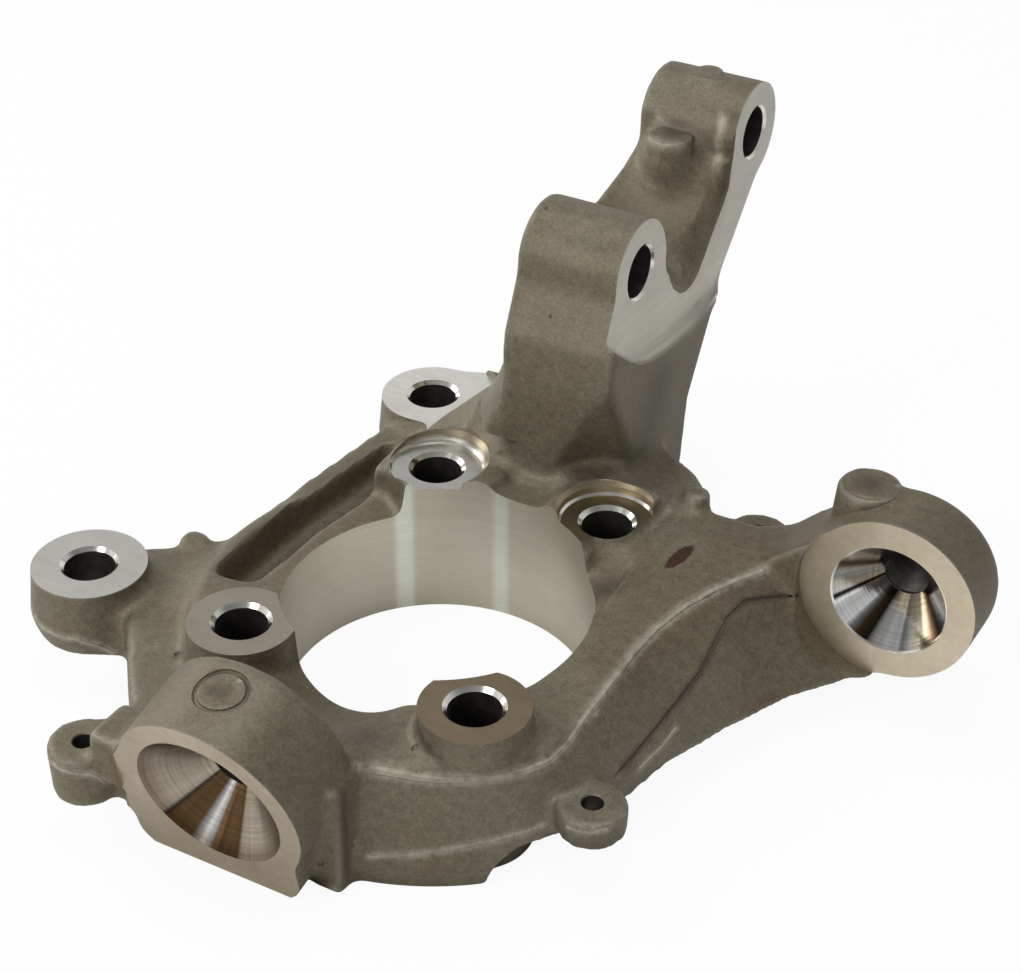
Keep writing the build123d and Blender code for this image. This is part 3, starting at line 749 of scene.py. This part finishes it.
def wire(name, lines, radius, lift):
    """Round wires that follow lines on the casting, as one closed mesh with the cast finish."""
    curve = bpy.data.curves.new(name, "CURVE")
    curve.dimensions = "3D"
    curve.bevel_depth = radius * mm
    curve.bevel_resolution = 2
    curve.use_fill_caps = True
    for line in lines:
        spline = curve.splines.new("POLY")
        points = laid_on(line, lift)
        spline.use_cyclic_u = (points[0] - points[-1]).length < 1e-6
        if spline.use_cyclic_u:
            points.pop()
        spline.points.add(len(points) - 1)
        for point, place in zip(spline.points, points):
            point.co = (*place, 1)
    obj = bpy.data.objects.new(name, curve)
    bpy.context.scene.collection.objects.link(obj)
    bm = bmesh.new()
    bm.from_mesh(obj.to_mesh())
    obj.to_mesh_clear()
    bpy.data.objects.remove(obj)
    bmesh.ops.remove_doubles(bm, verts=bm.verts, dist=1e-7)
    bmesh.ops.recalc_face_normals(bm, faces=bm.faces)
    return bm


def more_points(line, steps):
    """More points between the ones of a line, so that a wire keeps to the skin."""
    out = []
    for start, end in zip(line, line[1:]):
        out += [Vector(start).lerp(Vector(end), i / steps) for i in range(steps)]
    return out + [Vector(line[-1])]


# a thin crease down the steering arm, the soft bead along the ring's rim, and the flash lines
arm_crease = [(60, -22, 15), (62.5, -17, 17), (67, 14, 25), (67, 30, 32), (68.5, 37, 33), (77, 49, 30)]
cut(casting, wire("crease", [more_points(arm_crease, 12)], 0.45, 0.1), "crease")
ring_rim = [(15.4, -63.2, 31), (17.7, -60.3, 29), (23.8, -58.4, 28.8), (28.9, -56.5, 28.3),
            (33.7, -54.2, 28), (39.8, -50.4, 27.8), (44.6, -46.3, 27.6), (49.1, -41.4, 27.6),
            (52.3, -36.1, 28.1), (53, -28, 28.1), (52.9, -20.3, 29.5), (53, -12.3, 30.8), (53.1, -4.5, 31.8),
            (53.1, 5.7, 32.5), (54.1, 14.7, 33.3), (55.9, 21.5, 34.2), (57.2, 25.6, 34.7),
            (61.5, 34.6, 35.8), (65.1, 40.5, 36.4), (68.9, 46.2, 36)]
parting = [(20.5, -66, 7.7), (30.4, -61.4, 9.3), (37.7, -56.3, 10.3), (44.9, -50.5, 11.4),
           (49.5, -45.7, 11.8), (53.2, -41.3, 12.5)]
ear_lip = [(60.7, -43.9, 17.6), (66.5, -43.6, 18), (70.1, -41, 18.6)]
arm_flash = [(64.8, -14.1, 14.2), (66.6, -5.4, 15.7), (67.4, 0.6, 17.6)]
left_boss_flash = [(-96, -42.5, 21.6), (-94.8, -44.3, 21.3), (-91.1, -46.4, 19.9), (-84.9, -47.3, 19.9),
                   (-79.5, -46.1, 19.6), (-75.6, -43.2, 17.5), (-72.7, -40.8, 14.4)]
left_ear_flash = [(-54, -89, 23.6), (-50.6, -90.7, 23.6), (-46.4, -90.5, 23.2), (-42.6, -88, 22.6),
                  (-40.8, -84.5, 19.8)]
flash_lines = [more_points(line, 8)
               for line in (parting, ear_lip, arm_flash, left_boss_flash, left_ear_flash)]
cut(casting, wire("rim", [more_points(ring_rim, 6)], 1.3, -0.8), "rim", "UNION")
cut(casting, wire("flash", flash_lines, 0.55, -0.28), "flash", "UNION")

# small pits in the skin, as (x, y, z, radius)
pits = bmesh.new()
for x, y, z, radius in ((24.2, -50.4, 30.5, 1.1), (10.7, -72.7, 8.3, 0.9), (13.8, -67.4, 10.9, 0.8),
                        (-48.4, -44.7, 26, 0.8), (-7, 69.5, 109.4, 1.1), (1.5, 55.6, 86.6, 0.7),
                        (-11, 100, 70, 0.8), (-11, 120, 92, 0.7), (60, 70, 20, 0.8), (95, 72, 16, 0.9),
                        (-64, 20, 14, 0.8), (20, 108, 50, 0.7), (-60, -36, 12, 0.8), (124, 60, 30, 1.0)):
    spot = laid_on([(x, y, z)], 0.45 * radius)[0]
    bmesh.ops.create_icosphere(pits, subdivisions=2, radius=radius * mm, matrix=Matrix.Translation(spot))
cut(casting, pits, "pits")

# what the ejector pins left: raised discs in the valley, on the upper lobe and on the tie rod boss,
# and a round groove on the ball joint boss
for spot, profile in (
        (valley_disc, [(0, -6), (7.1, -6), (6.6, -3), (6.3, -1.0), (5.9, -0.3), (5.3, 0), (0, 0)]),
        ((3.2, 143.2, 120.9), [(0, -4), (4.4, -4), (3.9, -0.3), (3.5, 0), (0, 0)]),
        ((88.8, 63.8, 59.2), [(0, -12), (9.2, -12), (8.2, -1.1), (7.7, -0.3), (7, 0), (6.3, -0.2),
                              (5.3, -1.4), (0, -1.7)])):
    turned_cut("pin_disc", profile, stand(spot, up), 64, "UNION")
mark_x, mark_y, mark_z, mark_r, mark_steps = -10.7, -77.2, 53, 6.3, 48
pin_mark = []
for i in range(mark_steps):
    angle = math.tau * i / mark_steps
    pin_mark.append((mark_x + mark_r * math.cos(angle), mark_y + mark_r * math.sin(angle), mark_z))
pin_mark.append(pin_mark[0])
cut(casting, wire("pin_mark", [pin_mark], 0.65, 0.05), "pin_mark")


def paint(name, lines):
    """Writes on each point how near it lies to lines: (points, reach in mm, strength at the line)."""
    spots = []
    for points, reach, strength in lines:
        for start, end in zip(points, points[1:] or points):
            start, end = Vector(start), Vector(end)
            steps = max(1, int((end - start).length / 0.6))
            spots += [(start.lerp(end, i / steps) * mm, reach * mm, strength) for i in range(steps + 1)]
    tree = KDTree(len(spots))
    for i, (place, reach, strength) in enumerate(spots):
        tree.insert(place, i)
    tree.balance()
    values = []
    for v in casting.data.vertices:
        near = tree.find_n(v.co, 3)
        values.append(max(max(0.0, 1 - away / spots[i][1]) * spots[i][2] for place, i, away in near))
    casting.data.attributes.new(name, "FLOAT", "POINT").data.foreach_set("value", values)


# painted highlights, partly wear, along lit rims, flash lines and block edges
paint("wear_and_highlight", [
    (ring_rim, 2.3, 0.9), (parting, 1.6, 1.1), (ear_lip, 1.4, 0.9), (arm_flash, 1.4, 0.9),
    (left_boss_flash, 1.7, 1.0), (left_ear_flash, 1.6, 1.0),
    # edges of the two blocks beside the ball joint boss
    ([(10, -73.6, 4), (10, -73.6, 30), (16, -73.6, 31)], 1.7, 0.7),
    ([(-44, -86, 23), (-44, -86, 33), (-36, -86, 33)], 1.7, 0.7),
    ([(14.5, -74, 0.5), (15, -71, 0.5)], 2.0, 1.2),
    # front edge of the disc in the valley, and the edges behind and beside it
    ([(-3.3, 120.6, 108.6), (-1.8, 119.2, 108.6), (1.2, 118.3, 108.6), (4.2, 119.2, 108.6),
      (6.3, 121.2, 108.6)], 1.4, 0.8),
    ([(-5.5, 129, 111), (-2.9, 128.8, 108.7)], 2.2, 0.7),
    ([(13.5, 130.4, 115), (14.6, 126, 98), (12, 118, 90)], 2.0, 0.9)])
# painted shade in creases, pits, hollows and on sides in shadow
paint("painted_shade", [
    # at the foot of the right lower pad, in a pit beside the left one, and along the crease
    ([(24, -48, 35), (26.4, -50.2, 33.5), (30.2, -51.6, 32), (32.6, -52, 30.5)], 2.4, 0.6),
    ([(-47.9, -45.3, 26)], 2.6, 0.9), (arm_crease, 1.5, 0.9),
    # behind the disc in the valley, beside the block, and at the valley's corner
    ([(3, 129, 110), (-3, 128.6, 108.5), (8, 128.6, 108.5)], 2.5, 0.5),
    ([(17.4, -70.5, 30), (17.4, -70.5, 4)], 2.0, 0.75),
    ([(17.2, 131.5, 115), (17.4, 128.6, 103), (17, 124, 94)], 2.2, 0.75),
    # on the pin marks
    (pin_mark, 1.3, 0.7), ([(-10.7, -77.2, 54)], 7, 0.45), ([(1.2, 124.4, 109.2)], 7, 0.5),
    ([(88.8, 63.8, 58)], 5.6, 0.8),
    # low on the arm's right side, round the right shield ear, and on the ring beside the bore
    ([(21.3, 70, 36), (21.3, 76, 48), (21.3, 82, 58)], 14, 0.5),
    ([(70.5, -38, 12), (66, -43.5, 12), (60, -43.5, 12)], 6, 0.6),
    ([(11.8, -52.9, 30.5)], 12, 0.5), ([(35.4, 26.8, 30.5)], 9, 0.6)])
# a rust stain along the clamp face's border
paint("rust", [([(18.6, 106.7, 74), (18.6, 110.8, 76.9), (19.5, 115, 79.3), (19.5, 119.2, 81.6)], 2.6, 0.6)])

# painted reflection and shade on each pad: the brightness of its floor, and of the lip round it
painted_dark_pad = (0.60, 0.51, 0.37)
pad_reach, lip_start = 20, 0.9      # from the pad's middle, and above its floor, in mm
painted_pad_light = [(caliper_pads[0], caliper_z, grey(1.42), grey(1.42)),
             (caliper_pads[1], caliper_z, grey(1.12), grey(1.12)),
             (upper_pads[1], pad_z, grey(0.92), (0.44, 0.38, 0.28)),
             (upper_pads[0], pad_z, painted_dark_pad, painted_dark_pad),
             (lower_pads[1], pad_z, (0.72, 0.67, 0.59), grey(0.8)),
             (lower_pads[0], pad_z, (0.50, 0.40, 0.29), grey(0.8))]
pad_light_layer = casting.data.attributes.new("pad_painted_light", "FLOAT_COLOR", "POINT")
colours = []
for v in casting.data.vertices:
    near = [lip if v.co.z > (z + lip_start) * mm else flat for (x, y), z, flat, lip in painted_pad_light
            if (v.co - Vector((x, y, z)) * mm).length < pad_reach * mm]
    colours += [*(near[0] if near else grey(1.0)), 1]
pad_light_layer.data.foreach_set("color", colours)

casting.data.polygons.foreach_set("use_smooth", [True] * len(casting.data.polygons))
sharp_angle = math.radians(32)
casting.data.set_sharp_from_angle(angle=sharp_angle)
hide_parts("knuckle")
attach(casting, "root")

# ---------------------------------------------------------------- floor, light and camera
floor_mesh = bmesh.new()
bmesh.ops.create_grid(floor_mesh, x_segments=1, y_segments=1, size=3.0)
floor = new_object("floor", floor_mesh)
floor_paint, tree, shader = material("white_floor", 0.0, 0.9)[:3]
shader.inputs["Base Color"].default_value = (0.85, 0.85, 0.85, 1)
glow = tree.nodes.new("ShaderNodeEmission")
glow.inputs["Strength"].default_value = 1.0
path = tree.nodes.new("ShaderNodeLightPath")
share = tree.nodes.new("ShaderNodeMath")
share.operation = "MULTIPLY"
share.inputs[1].default_value = 0.93
tree.links.new(path.outputs["Is Camera Ray"], share.inputs[0])
blend = tree.nodes.new("ShaderNodeMixShader")
tree.links.new(share.outputs[0], blend.inputs["Fac"])
tree.links.new(shader.outputs["BSDF"], blend.inputs[1])
tree.links.new(glow.outputs["Emission"], blend.inputs[2])
tree.links.new(blend.outputs["Shader"], tree.nodes["Material Output"].inputs["Surface"])
floor.data.materials.append(floor_paint)

world = bpy.data.worlds.new("studio")
bpy.context.scene.world = world
world.use_nodes = True
tree = world.node_tree
back = tree.nodes["Background"]
path = tree.nodes.new("ShaderNodeLightPath")
seen = tree.nodes.new("ShaderNodeMath")
seen.operation = "MAXIMUM"
tree.links.new(path.outputs["Is Camera Ray"], seen.inputs[0])
tree.links.new(path.outputs["Is Transmission Ray"], seen.inputs[1])
# a white backdrop up to about 35 degrees, a dimmer ceiling above it and a grey wall on the right
direction = tree.nodes.new("ShaderNodeTexCoord")
apart = tree.nodes.new("ShaderNodeSeparateXYZ")
tree.links.new(direction.outputs["Generated"], apart.inputs["Vector"])
studio = between(tree, apart.outputs["Z"], 0.50, 0.70, 0.72, 0.25)
shaded = tree.nodes.new("ShaderNodeMath")
shaded.operation = "MULTIPLY"
tree.links.new(studio, shaded.inputs[0])
tree.links.new(between(tree, apart.outputs["X"], 0.25, 0.90, 1.0, 0.55), shaded.inputs[1])
level = tree.nodes.new("ShaderNodeMath")
level.operation = "MAXIMUM"
tree.links.new(shaded.outputs[0], level.inputs[0])
tree.links.new(seen.outputs[0], level.inputs[1])
tree.links.new(level.outputs[0], back.inputs["Strength"])
back.inputs["Color"].default_value = (1, 1, 1, 1)


def soft_box(name, place, target, size, power):
    """A rectangular soft light that faces its target."""
    lamp = bpy.data.lights.new(name, "AREA")
    lamp.shape = "RECTANGLE"
    lamp.size, lamp.size_y = size
    lamp.energy = power
    obj = bpy.data.objects.new(name, lamp)
    obj.location = place
    obj.rotation_euler = (Vector(target) - Vector(place)).to_track_quat("-Z", "Y").to_euler()
    bpy.context.scene.collection.objects.link(obj)


middle = (0.01, 0.03, 0.04)
soft_box("soft_box_front", (-0.30, -0.85, 0.62), middle, (0.6, 0.5), 4.2)
soft_box("soft_box_left", (-0.80, 0.10, 0.50), middle, (0.5, 0.5), 2.7)
soft_box("soft_box_top", (0.0, 0.10, 1.05), middle, (0.6, 0.6), 4.2)

camera_data = bpy.data.cameras.new("camera")
camera_data.sensor_fit = "HORIZONTAL"
camera_data.sensor_width = 36
camera_data.lens = 82.73
camera_data.clip_start = 0.01
camera = bpy.data.objects.new("camera", camera_data)
bpy.context.scene.collection.objects.link(camera)
view_direction = Vector((-0.4000, 0.7216, -0.5651))
camera_roll = math.radians(0.35)
camera.matrix_world = (Matrix.Translation((0.2449, -0.4042, 0.3903))
                       @ view_direction.to_track_quat("-Z", "Y").to_matrix().to_4x4()
                       @ Matrix.Rotation(camera_roll, 4, "Z"))
bpy.context.scene.camera = camera
bpy.context.scene.view_settings.view_transform = "Standard"
